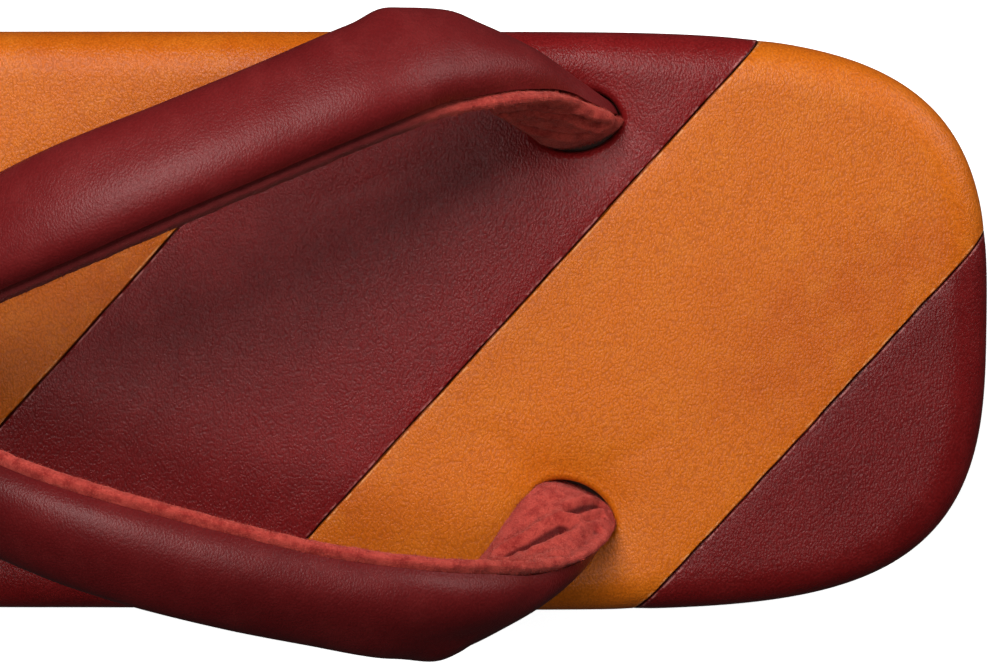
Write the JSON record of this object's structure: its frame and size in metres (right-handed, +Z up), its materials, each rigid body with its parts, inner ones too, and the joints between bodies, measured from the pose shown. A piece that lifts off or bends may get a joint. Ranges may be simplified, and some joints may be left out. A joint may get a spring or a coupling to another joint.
{
  "type": "setta sandal",
  "caption": "Flat thong sandal with a padded striped leather footbed, two padded straps meeting at a toe loop, and a plain rubber sole.",
  "frame": {"origin": "on the floor under the middle of the footprint, on the sole's flat underside", "axes": "+Z up, toe toward -Y and heel toward +Y, +X toward the side of the big toe of a right foot"},
  "size_m": [0.1081, 0.265, 0.0796],
  "materials": {
    "sole_rubber": "matt dark rubber",
    "core_foam": "padded core, hidden under the leather",
    "leather_burgundy": "fine pebbled grain, low sheen",
    "leather_orange": "fine pebbled grain, low sheen",
    "leather_strap": "smooth soft leather with a broad sheen",
    "velvet": "short-pile velvet"
  },
  "bodies": {
    "root": {"outsole": "sole_rubber", "insole": "core_foam", "strip_heel_corner": "leather_burgundy", "strip_heel": "leather_orange", "strip_waist": "leather_burgundy", "strip_ball": "leather_orange", "strip_toe": "leather_burgundy", "strap_leather": "leather_strap", "strap_lining": "velvet", "toe_loop": "leather_strap"}
  },
  "joints": []
}
